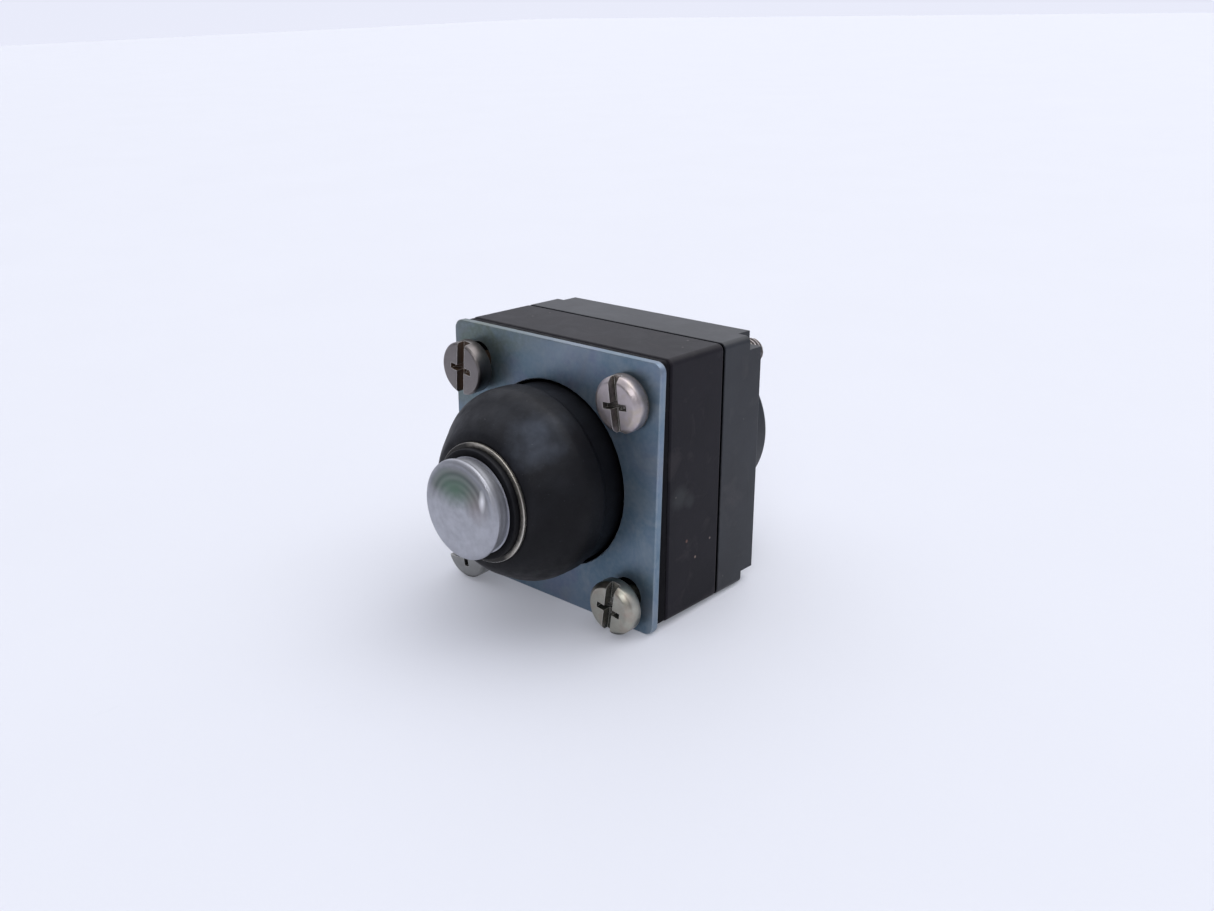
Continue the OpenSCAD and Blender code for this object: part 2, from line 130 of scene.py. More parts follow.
def screw_places():
    """Name, x, z, underside of the head and tip for each head screw, read from the CAD screws."""
    points = [v.co / MM for v in frame["nodes"]["head_screws"].data.vertices]
    for name, (sx, sz) in CORNERS.items():
        ys = [p.y for p in points if p.x * sx > 0 and p.z * sz > 0]
        yield name, sx * SCREW_SPAN / 2, SCREW_Z + sz * SCREW_SPAN / 2, min(ys) + SCREW_HEAD_H, max(ys)


# ---- Mesh building ----

def make_object(name, verts, faces):
    """A new object from points in millimetres, with its faces turned outward."""
    mesh = bpy.data.meshes.new(name)
    mesh.from_pydata([(x * MM, y * MM, z * MM) for x, y, z in verts], [], faces)
    shape = bmesh.new()
    shape.from_mesh(mesh)
    bmesh.ops.remove_doubles(shape, verts=shape.verts, dist=1e-8)
    bmesh.ops.recalc_face_normals(shape, faces=shape.faces)
    shape.to_mesh(mesh)
    shape.free()
    obj = bpy.data.objects.new(name, mesh)
    bpy.context.scene.collection.objects.link(obj)
    return obj


def apply_modifiers(obj):
    """Bakes the object's modifiers into its mesh."""
    graph = bpy.context.evaluated_depsgraph_get()
    graph.update()
    mesh = bpy.data.meshes.new_from_object(obj.evaluated_get(graph))
    obj.modifiers.clear()
    obj.data = mesh


def combine(obj, tool, operation="DIFFERENCE"):
    """Boolean of two closed solids; the tool is used up."""
    step = obj.modifiers.new("combine", "BOOLEAN")
    step.operation = operation
    step.solver = "EXACT"
    step.object = tool
    apply_modifiers(obj)
    bpy.data.objects.remove(tool)


def finish_piece(obj, material, body, nodes=(), weighted=True):
    """Shades a piece, gives it its material and body, and hides the CAD nodes it stands for."""
    obj.data.shade_smooth()
    obj.data.set_sharp_from_angle(angle=SHARP_ANGLE)
    obj.data.materials.clear()
    obj.data.materials.append(material)
    if weighted:
        normals = obj.modifiers.new("normals", "WEIGHTED_NORMAL")
        normals.keep_sharp = True
    if body:
        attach(obj, body)
    if nodes:
        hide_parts(*nodes)
    return obj


def rounded(corners, steps=5):
    """Closed outline from (a, b, fillet) corners, each fillet drawn as a short curve."""
    out = []
    for i, (a, b, fillet) in enumerate(corners):
        here = Vector((a, b))
        before = Vector(corners[i - 1][:2]) - here
        after = Vector(corners[(i + 1) % len(corners)][:2]) - here
        if fillet <= 0 or before.length < 1e-6 or after.length < 1e-6:
            out.append((a, b))
            continue
        half = before.angle(after) / 2
        reach = min(fillet / math.tan(half), 0.49 * before.length, 0.49 * after.length)
        start, end = here + before.normalized() * reach, here + after.normalized() * reach
        for k in range(steps + 1):
            s = k / steps
            out.append(tuple((1 - s) ** 2 * start + 2 * s * (1 - s) * here + s * s * end))
    return out


def lathe(name, outline, segments=160):
    """Solid turned about the plunger axis from a closed (radius, y) outline."""
    verts, rings = [], []
    for r, y in outline:
        if r < 1e-6:
            rings.append([len(verts)] * segments)
            verts.append((0, y, 0))
            continue
        rings.append(range(len(verts), len(verts) + segments))
        for k in range(segments):
            a = 2 * math.pi * k / segments
            verts.append((r * math.cos(a), y, r * math.sin(a)))
    faces = []
    for i, ring in enumerate(rings):
        after = rings[(i + 1) % len(rings)]
        if len(set(ring)) == 1 and len(set(after)) == 1:
            continue
        for k in range(segments):
            n = (k + 1) % segments
            corners = [ring[k], ring[n], after[n], after[k]]
            faces.append(tuple(dict.fromkeys(corners)))
    return make_object(name, verts, faces)


def disc(r, y0, y1, segments=96):
    """Plain tool cylinder on the plunger axis, for cutting."""
    return lathe("tool", [(0, y0), (r, y0), (r, y1), (0, y1)], segments)


def droop(obj):
    """Lowers the front of the plunger group by NOSE_SAG, as the photo shows, fading out towards the plate."""
    for v in obj.data.vertices:
        t = min(1.0, max(0.0, (SAG_START_Y - v.co.y / MM) / SAG_LEN))
        v.co.z -= NOSE_SAG * MM * t * t * (3 - 2 * t)
    return obj


def move(obj, x=0.0, y=0.0, z=0.0):
    """Moves a mesh by millimetres without moving its object."""
    for v in obj.data.vertices:
        v.co += Vector((x, y, z)) * MM
    return obj


def turn(obj, angle):
    """Turns a mesh about the plunger axis by degrees; +Z goes towards +X."""
    c, s = math.cos(math.radians(angle)), math.sin(math.radians(angle))
    for v in obj.data.vertices:
        v.co = Vector((v.co.x * c + v.co.z * s, v.co.y, -v.co.x * s + v.co.z * c))
    return obj


def box_tool(x0, x1, y0, y1, z0, z1):
    """Plain tool block, for cutting."""
    verts = [(x, y, z) for x in (x0, x1) for y in (y0, y1) for z in (z0, z1)]
    faces = [(0, 1, 3, 2), (4, 6, 7, 5), (0, 4, 5, 1), (2, 3, 7, 6), (0, 2, 6, 4), (1, 5, 7, 3)]
    return make_object("tool", verts, faces)


def round_rect(w, h, r, z_mid=0.0, steps=8):
    """Points of a rectangle with round corners, in x and z."""
    points = []
    for k, (sx, sz) in enumerate(((1, 1), (-1, 1), (-1, -1), (1, -1))):
        for i in range(steps + 1):
            a = math.pi / 2 * (k + i / steps)
            points.append((sx * (w / 2 - r) + r * math.cos(a), z_mid + sz * (h / 2 - r) + r * math.sin(a)))
    return points


def circle(x, z, r, steps=64):
    """Points of a circle, in x and z."""
    angles = (2 * math.pi * k / steps for k in range(steps))
    return [(x + r * math.cos(a), z + r * math.sin(a)) for a in angles]


def loft(name, sections):
    """Closed solid through (y, points) sections that all have the same number of points."""
    count = len(sections[0][1])
    verts = [(x, y, z) for y, points in sections for x, z in points]
    faces = [tuple(range(count)), tuple(range(len(verts) - count, len(verts)))]
    for s in range(len(sections) - 1):
        for k in range(count):
            n = (k + 1) % count
            a, b = s * count, (s + 1) * count
            faces.append((a + k, a + n, b + n, b + k))
    return make_object(name, verts, faces)


def fillet_levels(y0, edge, steps):
    """(y, inset) levels of a rounded front edge that starts at plane y0."""
    angles = (math.pi / 2 * k / steps for k in range(steps + 1))
    return [(y0 + edge * (1 - math.cos(a)), edge * (1 - math.sin(a))) for a in angles]


def sheet(name, outline, holes, y0, y1, edge, steps=4):
    """Flat plate with rounded edges: outline(inset) gives its rim, holes are (x, z, r)."""
    front = fillet_levels(y0, edge, steps)
    back = [(y0 + y1 - y, inset) for y, inset in reversed(front)]
    levels = front + back
    loops = [outline] + [lambda inset, h=h: circle(h[0], h[1], h[2] + inset) for h in holes]
    verts, faces = [], []
    first, last = [], []
    for loop in loops:
        start = len(verts)
        count = len(loop(0))
        for y, inset in levels:
            verts += [(x, y, z) for x, z in loop(inset)]
        for s in range(len(levels) - 1):
            for k in range(count):
                n = (k + 1) % count
                a, b = start + s * count, start + (s + 1) * count
                faces.append((a + k, a + n, b + n, b + k))
        first.append(range(start, start + count))
        last.append(range(len(verts) - count, len(verts)))
    for rims in (first, last):
        flat = [[Vector((verts[i][0], verts[i][2], 0)) for i in rim] for rim in rims]
        index = [i for rim in rims for i in rim]
        faces += [tuple(index[i] for i in tri) for tri in geometry.tessellate_polygon(flat)]
    return make_object(name, verts, faces)


def coil(name, y0, length, radius, wire, turns, steps=48, sides=14):
    """Round-wire compression spring with closed ends."""
    closed = wire * 1.03
    pitch = (length - wire - 2 * closed) / (turns - 2)

    def rise(t):
        if t < 1:
            return t * closed
        if t > turns - 1:
            return closed + (turns - 2) * pitch + (t - turns + 1) * closed
        return closed + (t - 1) * pitch

    last = round(turns * steps)
    verts, faces = [], []
    for i in range(last + 1):
        a = 2 * math.pi * i / steps
        y = y0 + wire / 2 + rise(i / steps)
        for s in range(sides):
            b = 2 * math.pi * s / sides
            r = radius + wire / 2 * math.cos(b)
            verts.append((r * math.cos(a), y + wire / 2 * math.sin(b), r * math.sin(a)))
    for i in range(last):
        for s in range(sides):
            n = (s + 1) % sides
            faces.append((i * sides + s, i * sides + n, (i + 1) * sides + n, (i + 1) * sides + s))
    faces += [tuple(range(sides)), tuple(range(last * sides, (last + 1) * sides))]
    return make_object(name, verts, faces)


# ---- Material building ----

class Finish:
    """A material under construction: its tree, its shader and a position input in millimetres."""

    def __init__(self, name):
        self.material = bpy.data.materials.new(name)
        self.material.use_nodes = True
        self.tree = self.material.node_tree
        self.shader = self.tree.nodes["Principled BSDF"]
        place = self.add("ShaderNodeTexCoord").outputs["Object"]
        self.mm = self.add("ShaderNodeVectorMath", {"operation": "SCALE"}, Vector=place, Scale=1 / MM)

    def add(self, kind, settings=None, **sockets):
        """Adds a node; returns it, or its first output when any socket was given."""
        node = self.tree.nodes.new(kind)
        for key, value in (settings or {}).items():
            setattr(node, key, value)
        for key, value in sockets.items():
            self.put(node.inputs[key.replace("_", " ")], value)
        return node.outputs[0] if sockets else node

    def put(self, socket, value):
        """Links or sets one input."""
        if isinstance(value, bpy.types.NodeSocket):
            self.tree.links.new(value, socket)
        else:
            socket.default_value = value

    def set(self, **sockets):
        """Links or sets inputs of the shader."""
        for key, value in sockets.items():
            self.put(self.shader.inputs[key.replace("_", " ")], value)

    def math(self, operation, a, b=0.0, clamp=False):
        """A math node of two values."""
        node = self.tree.nodes.new("ShaderNodeMath")
        node.operation = operation
        node.use_clamp = clamp
        self.put(node.inputs[0], a)
        self.put(node.inputs[1], b)
        return node.outputs[0]

    def vector(self, operation, a, b=(0, 0, 0)):
        """The outputs of a vector math node of two vectors."""
        node = self.tree.nodes.new("ShaderNodeVectorMath")
        node.operation = operation
        self.put(node.inputs[0], a)
        self.put(node.inputs[1], b)
        return node.outputs

    def noise(self, scale, detail=3.0, roughness=0.5, stretch=None, distortion=0.0):
        """Noise value between 0 and 1; scale is in features per millimetre."""
        place = self.vector("MULTIPLY", self.mm, stretch)["Vector"] if stretch else self.mm
        return self.add("ShaderNodeTexNoise", Vector=place, Scale=scale, Detail=detail,
                        Roughness=roughness, Distortion=distortion)

    def axes(self):
        """The three parts of the position, in millimetres."""
        return self.add("ShaderNodeSeparateXYZ", Vector=self.mm).node.outputs

    def patch(self, centre, radii, softness):
        """1 inside a soft ellipsoid, 0 outside, with a wandering edge."""
        away = self.vector("SUBTRACT", self.mm, centre)["Vector"]
        size = self.vector("LENGTH", self.vector("DIVIDE", away, radii)["Vector"])["Value"]
        wander = self.math("MULTIPLY", self.math("SUBTRACT", self.noise(0.5, 4, 0.6), 0.5), 0.8)
        return self.range(self.math("ADD", size, wander), 1.0 - softness, 1.0 + softness, 1.0, 0.0)

    def ramp(self, value, *stops):
        """Colour ramp through (position, colour or grey) stops."""
        node = self.tree.nodes.new("ShaderNodeValToRGB")
        self.put(node.inputs[0], value)
        band = node.color_ramp
        while len(band.elements) < len(stops):
            band.elements.new(0.5)
        for element, (position, colour) in zip(band.elements, stops):
            element.position = position
            grey = (colour, colour, colour) if isinstance(colour, (int, float)) else colour
            element.color = (*grey, 1.0)
        return node.outputs[0]

    def mix(self, factor, a, b):
        """Mix of two colours."""
        node = self.tree.nodes.new("ShaderNodeMix")
        node.data_type = "RGBA"
        self.put(node.inputs[0], factor)
        for socket, value in ((node.inputs[6], a), (node.inputs[7], b)):
            self.put(socket, (*value, 1.0) if isinstance(value, tuple) and len(value) == 3 else value)
        return node.outputs[2]

    def range(self, value, low, high, to_low, to_high):
        """Maps a value from one range to another, held at its ends."""
        node = self.tree.nodes.new("ShaderNodeMapRange")
        for socket, v in zip(node.inputs, (value, low, high, to_low, to_high)):
            self.put(socket, v)
        return node.outputs[0]

    def bump(self, height, depth, normal=None):
        """Bump of a 0 to 1 height, depth in millimetres."""
        node = self.tree.nodes.new("ShaderNodeBump")
        self.put(node.inputs["Height"], height)
        node.inputs["Distance"].default_value = depth * MM
        if normal is not None:
            self.put(node.inputs["Normal"], normal)
        return node.outputs[0]

    def soft_edges(self, radius):
        """Normal that rounds sharp edges by a radius in millimetres."""
        return self.add("ShaderNodeBevel", {"samples": 4}, Radius=radius * MM)

    def edge_mask(self, radius):
        """1 along sharp edges, 0 on flats."""
        flat_normal = self.add("ShaderNodeNewGeometry").outputs["Normal"]
        dot = self.vector("DOT_PRODUCT", self.soft_edges(radius), flat_normal)["Value"]
        return self.range(dot, 0.92, 0.995, 1.0, 0.0)

    def cavity(self, reach):
        """1 deep in recesses, 0 in the open; reach in millimetres."""
        ao = self.tree.nodes.new("ShaderNodeAmbientOcclusion")
        ao.samples = 6
        ao.inputs["Distance"].default_value = reach * MM
        return self.math("SUBTRACT", 1.0, ao.outputs["AO"])

    def facing(self, direction, low, high):
        """1 where the surface faces a direction, 0 where it doesn't."""
        normal = self.add("ShaderNodeNewGeometry").outputs["Normal"]
        dot = self.vector("DOT_PRODUCT", normal, Vector(direction).normalized())["Value"]
        return self.range(dot, low, high, 0.0, 1.0)


def paint(name, dark, light, roughness, gloss, marks=()):
    """Satin paint on a casting: cloudy tone, orange peel, smudges, pale specks, worn edges, painted shade in
    gaps and recesses.
    """
    f = Finish(name)
    cloud = f.noise(0.09, 4, 0.6)
    tone = f.mix(f.range(cloud, 0.35, 0.65, 0.0, 1.0), dark, light)
    speck = f.add("ShaderNodeTexVoronoi", Vector=f.mm, Scale=0.24, Randomness=1.0)
    speck = f.range(speck, 0.030, 0.050, 1.0, 0.0)
    tone = f.mix(f.math("MULTIPLY", speck, 0.5), tone, (0.20, 0.18, 0.18))
    smudge = f.noise(0.22, 5, 0.65, distortion=0.6)
    smear = f.range(smudge, 0.54, 0.70, 0.0, 0.20)
    tone = f.mix(smear, tone, (0.075, 0.066, 0.070))
    for centre, radius, strength, colour in marks:
        tone = f.mix(f.math("MULTIPLY", f.patch(centre, (radius,) * 3, 0.5), strength), tone, colour)
    wear = f.math("MULTIPLY", f.edge_mask(0.22), f.range(f.noise(1.2, 4), 0.42, 0.62, 0.0, 0.4))
    tone = f.mix(wear, tone, (0.12, 0.12, 0.125))
    # Painted shade: gaps and recesses are darkened to near black and lose their gloss.
    gap_shade = f.range(f.cavity(0.9), 0.35, 0.65, 0.0, 1.0)
    tone = f.mix(gap_shade, tone, (0.0008, 0.0008, 0.001))
    peel = f.noise(2.6, 3, 0.55)
    grit = f.noise(9.0, 2, 0.6)
    normal = f.bump(peel, 0.010, f.soft_edges(0.12))
    normal = f.bump(grit, 0.003, normal)
    rough = f.math("ADD", roughness - 0.05, f.math("MULTIPLY", smudge, 0.16))
    shine = f.math("MULTIPLY", f.math("SUBTRACT", 1.0, gap_shade), gloss)
    f.set(Base_Color=tone, Roughness=rough, Normal=normal, IOR=1.5, Specular_IOR_Level=shine)
    return f.material


def zinc_plate():
    """Blue zinc passivate on rolled steel: mottled tint, olive corner, long grain, fine scratches, painted
    highlight along the edges.
    """
    f = Finish("zinc_plate")
    x, _, z = f.axes()
    cloud = f.noise(0.07, 4, 0.55, distortion=0.5)
    tint = f.ramp(cloud, (0.32, (0.090, 0.160, 0.225)), (0.46, (0.135, 0.205, 0.275)),
                  (0.56, (0.165, 0.225, 0.305)), (0.68, (0.190, 0.215, 0.262)))
    blotch = f.noise(0.16, 4, 0.6, distortion=0.8)
    tint = f.mix(f.range(blotch, 0.48, 0.64, 0.0, 0.55), tint, (0.24, 0.29, 0.335))
    violet = f.range(f.noise(0.20, 3, 0.5), 0.56, 0.66, 0.0, 0.5)
    tint = f.mix(violet, tint, (0.150, 0.170, 0.270))
    corner = f.math("SUBTRACT", z, x)
    bloom = f.math("MULTIPLY", f.range(corner, 16.0, 31.0, 0.0, 0.95), f.range(blotch, 0.36, 0.58, 0.45, 1.0))
    tint = f.mix(bloom, tint, (0.120, 0.155, 0.130))
    fleck = f.noise(1.4, 5, 0.7)
    tint = f.mix(f.range(fleck, 0.40, 0.72, 0.0, 0.30), tint, (0.30, 0.36, 0.42))
    grain = f.noise(0.9, 3, 0.6, stretch=(0.25, 1.0, 6.0))
    scratch = f.range(f.noise(1.0, 2, 0.5, stretch=(9.0, 1.0, 0.5)), 0.66, 0.72, 0.0, 1.0)
    rough = f.math("ADD", 0.30, f.math("MULTIPLY", fleck, 0.22))
    normal = f.bump(grain, 0.006, f.soft_edges(0.08))
    normal = f.bump(scratch, 0.004, normal)
    # Painted highlight: every sharp edge of the plate is painted near white.
    edge_highlight = f.mix(f.edge_mask(0.14), tint, (0.92, 0.92, 0.90))
    f.set(Base_Color=edge_highlight, Metallic=0.7, Roughness=rough, Normal=normal)
    return f.material


def rubber(name, dust_and_sheen):
    """Moulded black rubber: matt, slightly uneven, with painted shade in its recesses; on the boot a pale
    bloom of dust and painted sheen on its upper side and a painted sheen on the shoulder.
    """
    f = Finish(name)
    base = f.mix(f.noise(0.3, 4), (0.0026, 0.0026, 0.0036), (0.0060, 0.0057, 0.0078))
    if dust_and_sheen:
        # Dust and painted sheen: a pale cloud on the faces turned up and towards the front.
        cloud = f.range(f.noise(0.28, 3, 0.5, distortion=0.2), 0.36, 0.68, 0.45, 1.0)
        up = f.facing((0.10, -0.50, 0.85), 0.35, 1.0)
        bloom = f.math("MULTIPLY", f.math("MULTIPLY", cloud, up), 0.26)
        base = f.mix(bloom, base, (0.085, 0.092, 0.110))
        # Painted sheen: a pale blue patch on the upper shoulder, broken up by the dust cloud.
        shoulder = f.patch((6.5, -33.0, 8.5), (3.0, 4.0, 2.8), 0.6)
        base = f.mix(f.math("MULTIPLY", f.math("MULTIPLY", shoulder, cloud), 0.60), base, (0.11, 0.13, 0.17))
        scuff = f.range(f.noise(1.3, 3, 0.6, stretch=(1.0, 0.4, 6.0)), 0.70, 0.76, 0.0, 0.35)
        base = f.mix(f.math("MULTIPLY", scuff, up), base, (0.30, 0.31, 0.33))
        crumb = f.range(f.noise(1.9, 4, 0.7), 0.66, 0.73, 0.0, 0.45)
        base = f.mix(crumb, base, (0.045, 0.048, 0.060))
    # Painted shade: recesses are darkened to near black and lose their gloss.
    recess_shade = f.cavity(2.5)
    base = f.mix(recess_shade, base, (0.001, 0.001, 0.0012))
    normal = f.bump(f.noise(3.2, 4, 0.6), 0.020)
    normal = f.bump(f.noise(0.5, 2), 0.06, normal)
    rough = f.range(f.noise(0.6, 4, 0.6), 0.3, 0.7, 0.42, 0.60)
    gloss = f.range(recess_shade, 0.1, 0.6, 0.20 if dust_and_sheen else 0.05, 0.0)
    f.set(Base_Color=base, Roughness=rough, Normal=normal, IOR=1.45, Specular_IOR_Level=gloss)
    return f.material


def turned_base(f, pitch, depth):
    """Rings of a turned surface about the plunger axis; returns the fine marks and the normal."""
    x, y, z = f.axes()
    radius = f.math("SQRT", f.math("ADD", f.math("MULTIPLY", x, x), f.math("MULTIPLY", z, z)))
    along = f.math("ADD", f.math("ADD", radius, y), f.math("MULTIPLY", f.noise(0.25, 2), 0.4))
    ring = f.math("SINE", f.math("MULTIPLY", along, 2 * math.pi / pitch))
    line_place = f.tree.nodes.new("ShaderNodeCombineXYZ")
    f.put(line_place.inputs[0], along)
    fine = f.add("ShaderNodeTexNoise", Vector=line_place.outputs[0], Scale=9.0, Detail=4.0, Roughness=0.65)
    return fine, f.bump(fine, 0.012, f.bump(ring, depth))


def turned_steel(name, colour, roughness, pitch, depth):
    """Turned metal: rings about the plunger axis, fine marks between them, faint stains."""
    f = Finish(name)
    fine, normal = turned_base(f, pitch, depth)
    stain = f.noise(0.4, 4, 0.6)
    tone = f.mix(f.range(stain, 0.45, 0.75, 0.0, 0.3), colour, tuple(0.72 * c for c in colour))
    rough = f.math("ADD", roughness - 0.06, f.math("MULTIPLY", fine, 0.14))
    f.set(Base_Color=tone, Metallic=1.0, Roughness=rough, Normal=normal)
    return f.material


def cap_with_painted_reflections():
    """Turned steel button: light grey, brighter in patches, with a painted dark reflection above that the
    rings show through, a painted greenish reflection, a warm patch and a painted glint.
    """
    f = Finish("cap_steel")
    fine, normal = turned_base(f, 1.1, 0.016)
    x, _, z = f.axes()
    height = f.math("ADD", z, f.math("MULTIPLY", f.math("SUBTRACT", f.noise(0.3, 4, 0.6), 0.5), 3.0))
    low = f.math("ADD", z, NOSE_SAG)
    radius = f.math("SQRT", f.math("ADD", f.math("MULTIPLY", x, x), f.math("MULTIPLY", low, low)))
    band = f.math("SINE", f.math("MULTIPLY", radius, 2 * math.pi / 1.1))
    touched = f.range(f.noise(0.5, 4, 0.6), 0.35, 0.65, 0.0, 1.0)
    clean = f.mix(touched, (0.38, 0.385, 0.42), (0.46, 0.47, 0.51))
    # Painted reflection: the upper face is darkened, with the turned rings showing in it.
    dark_reflection = f.mix(f.range(band, -1.0, 1.0, 0.0, 1.0), (0.125, 0.13, 0.135), (0.23, 0.235, 0.24))
    upper = f.math("MULTIPLY", f.range(height, -0.8, 2.2, 0.0, 1.0), f.range(radius, 5.8, 6.9, 1.0, 0.0))
    tone = f.mix(upper, clean, dark_reflection)
    mark_y = -42.0
    # Painted reflection: a greenish dark patch on the upper left of the face.
    green_reflection = f.patch((-0.7, mark_y, 2.5), (2.9, 4.0, 1.7), 0.8)
    tone = f.mix(f.math("MULTIPLY", green_reflection, 0.8), tone, (0.105, 0.185, 0.13))
    warm = f.patch((3.6, mark_y, 1.0), (1.6, 4.0, 1.8), 0.7)
    tone = f.mix(f.math("MULTIPLY", warm, 0.4), tone, (0.30, 0.25, 0.24))
    # Painted highlight: a near white streak on the upper right of the face edge.
    glint = f.patch((4.7, mark_y, 1.9), (0.40, 4.0, 1.0), 0.8)
    tone = f.mix(f.math("MULTIPLY", glint, 0.9), tone, (0.95, 0.95, 0.97))
    rough = f.math("ADD", 0.38, f.math("MULTIPLY", fine, 0.16))
    f.set(Base_Color=tone, Metallic=0.9, Roughness=rough, Normal=normal)
    return f.material


def worn_metal(name, colour, roughness, hollow_tone=(0.05, 0.03, 0.018), reach=0.9, stain=None, shade_lower_left=False):
    """Plated or drawn metal: marks, scratches, soiling and painted shade in recesses, painted highlights on
    edges, maybe stained, maybe with painted shade on its lower left side.
    """
    f = Finish(name)
    blotch = f.noise(0.7, 5, 0.65)
    tone = f.mix(f.range(blotch, 0.35, 0.7, 0.0, 1.0), tuple(0.80 * c for c in colour), colour)
    if stain:
        tone = f.mix(f.range(f.noise(0.45, 4, 0.6, distortion=0.5), 0.48, 0.66, 0.0, 0.6), tone, stain)
    # Soiling and painted shade: recesses take the hollow tone, partly real rust, partly painted shade.
    hollow_dirt_and_shade = f.range(f.math("ADD", f.cavity(reach), f.math("MULTIPLY", f.noise(2.0, 4), 0.3)),
                    0.26, 0.52, 0.0, 0.97)
    if shade_lower_left:
        # Painted shade: the lower left side is darkened.
        x, _, z = f.axes()
        side = f.math("ADD", f.math("MULTIPLY", x, 0.9), f.math("MULTIPLY", z, 0.43))
        hollow_dirt_and_shade = f.math("MAXIMUM", hollow_dirt_and_shade, f.range(side, 0.8, 3.6, 0.97, 0.0))
    tone = f.mix(hollow_dirt_and_shade, tone, hollow_tone)
    metal = f.math("SUBTRACT", 1.0, f.math("MULTIPLY", hollow_dirt_and_shade, 0.8))
    rough = f.math("ADD", f.math("MULTIPLY", blotch, 0.22), roughness - 0.11)
    rough = f.math("ADD", rough, f.math("MULTIPLY", hollow_dirt_and_shade, 0.3), clamp=True)
    scratch = f.range(f.noise(2.2, 3, 0.6, stretch=(1.0, 1.0, 9.0)), 0.62, 0.70, 0.0, 1.0)
    normal = f.bump(blotch, 0.02, f.soft_edges(0.06))
    normal = f.bump(scratch, 0.006, normal)
    # Painted highlight: sharp edges are lightened to a pale warm grey.
    bright = f.mix(f.math("MULTIPLY", f.edge_mask(0.12), 0.7), tone, (0.90, 0.88, 0.84))
    f.set(Base_Color=bright, Metallic=metal, Roughness=rough, Normal=normal)
    return f.material


def plastic(name, colour, roughness):
    """Natural engineering plastic: faint flow marks, fine tool texture and some light inside."""
    f = Finish(name)
    tone = f.mix(f.noise(0.25, 3), tuple(0.88 * c for c in colour), colour)
    normal = f.bump(f.noise(5.0, 3), 0.008, f.soft_edges(0.1))
    rough = f.range(f.noise(1.0, 3), 0.3, 0.7, roughness - 0.06, roughness + 0.06)
    f.set(Base_Color=tone, Roughness=rough, Normal=normal, Subsurface_Weight=0.1, Subsurface_Scale=0.001)
    return f.material


PLATE = zinc_plate()
# Marks on the right side: centre, radius, strength and colour
SIDE_X = rear_high.x
SCUFFS = (
    ((SIDE_X, -18.5, -0.4), 1.5, 0.22, (0.10, 0.11, 0.11)),
    ((SIDE_X, -16.2, -1.6), 0.9, 0.16, (0.10, 0.11, 0.11)),
    ((SIDE_X, -14.6, -10.7), 0.18, 0.7, (0.30, 0.22, 0.19)),
    ((SIDE_X, -16.7, -7.6), 0.20, 0.5, (0.25, 0.13, 0.10)),
    ((SIDE_X, -11.2, -8.8), 0.16, 0.7, (0.25, 0.20, 0.18)),
)
FRONT_PAINT = paint("front_paint", (0.0060, 0.0054, 0.0086), (0.0100, 0.0086, 0.0130), 0.42, 0.13, SCUFFS)
REAR_PAINT = paint("rear_paint", (0.0085, 0.0105, 0.0150), (0.0140, 0.0168, 0.0230), 0.38, 0.33)
BOOT = rubber("boot_rubber", True)
SEAL = rubber("seal_rubber", False)
CAP = cap_with_painted_reflections()
ROD = turned_steel("rod_steel", (0.62, 0.62, 0.63), 0.25, 0.12, 0.001)
RING = worn_metal("ring_metal", (0.62, 0.58, 0.51), 0.36, (0.012, 0.011, 0.011), shade_lower_left=True)
SCREW = worn_metal("screw_nickel", (0.60, 0.57, 0.53), 0.34)
RUSTY_SCREW = worn_metal("screw_rusty", (0.205, 0.188, 0.185), 0.36, (0.115, 0.070, 0.042), 1.6)
PALE_SCREW = worn_metal("screw_pale", (0.56, 0.50, 0.51), 0.40, (0.055, 0.050, 0.040), 1.5,
                        (0.47, 0.41, 0.33))
DULL_SCREW = worn_metal("screw_dull", (0.32, 0.32, 0.31), 0.38, (0.020, 0.018, 0.015), 1.4)
OLIVE_SCREW = worn_metal("screw_olive", (0.47, 0.46, 0.395), 0.34, (0.018, 0.022, 0.018), 1.5,
                         (0.38, 0.30, 0.25))
SPRING = worn_metal("spring_wire", (0.45, 0.45, 0.46), 0.33)
CLIP = worn_metal("clip_steel", (0.11, 0.11, 0.12), 0.42)
BRONZE = turned_steel("bush_bronze", (0.50, 0.31, 0.15), 0.42, 0.30, 0.002)
BRASS = turned_steel("seat_brass", (0.62, 0.46, 0.20), 0.32, 0.30, 0.002)
NYLON = plastic("nylon", (0.72, 0.69, 0.58), 0.48)
ACETAL = plastic("acetal", (0.78, 0.78, 0.75), 0.34)


# ---- Fixed casing ----

def plate_outline(inset):
    """Rim of the plate; its right edge was cut slightly out of square."""
    w, h = plate_high.x - plate_low.x, plate_high.z - plate_low.z
    rim = round_rect(w - 2 * inset, h - 2 * inset, 1.5 - inset)
    return [(x + EDGE_LEAN * z if x > 0 else x, z) for x, z in rim]


def screw_lean(y):
    """How far the tilted screws stand above their straight axes at y."""
    return (y - SCREW_PIVOT_Y) * math.tan(SCREW_TILT)


def screw_holes(radius, lift=0):
    return [(x, z + lift, radius) for _, x, z, _, _ in screw_places()]


def build_front_plate():
    holes = [(0, 0, PLATE_HOLE_R)] + screw_holes(SCREW_HOLE_R)
    obj = sheet("front_plate_sheet", plate_outline, holes, PLATE_FRONT, PLATE_BACK, 0.18)
    finish_piece(obj, PLATE, "housing", ["front_plate"])


def casing(name, y0, y1, front_edge, back_edge):
    """Block with round edges at both ends."""
    levels = fillet_levels(y0, front_edge, 5)
    levels += [(y0 + y1 - y, inset) for y, inset in reversed(fillet_levels(y0, back_edge, 5))]
    return loft(name, [(y, round_rect(BODY_W - 2 * inset, BODY_H - 2 * inset, BODY_CORNER - inset, BODY_Z))
                       for y, inset in levels])


def drill_screws(obj, radius, y0, y1, lift=0):
    for _, x, z, _, _ in screw_places():
        combine(obj, move(disc(radius, y0, y1, 48), x, 0, z + lift))


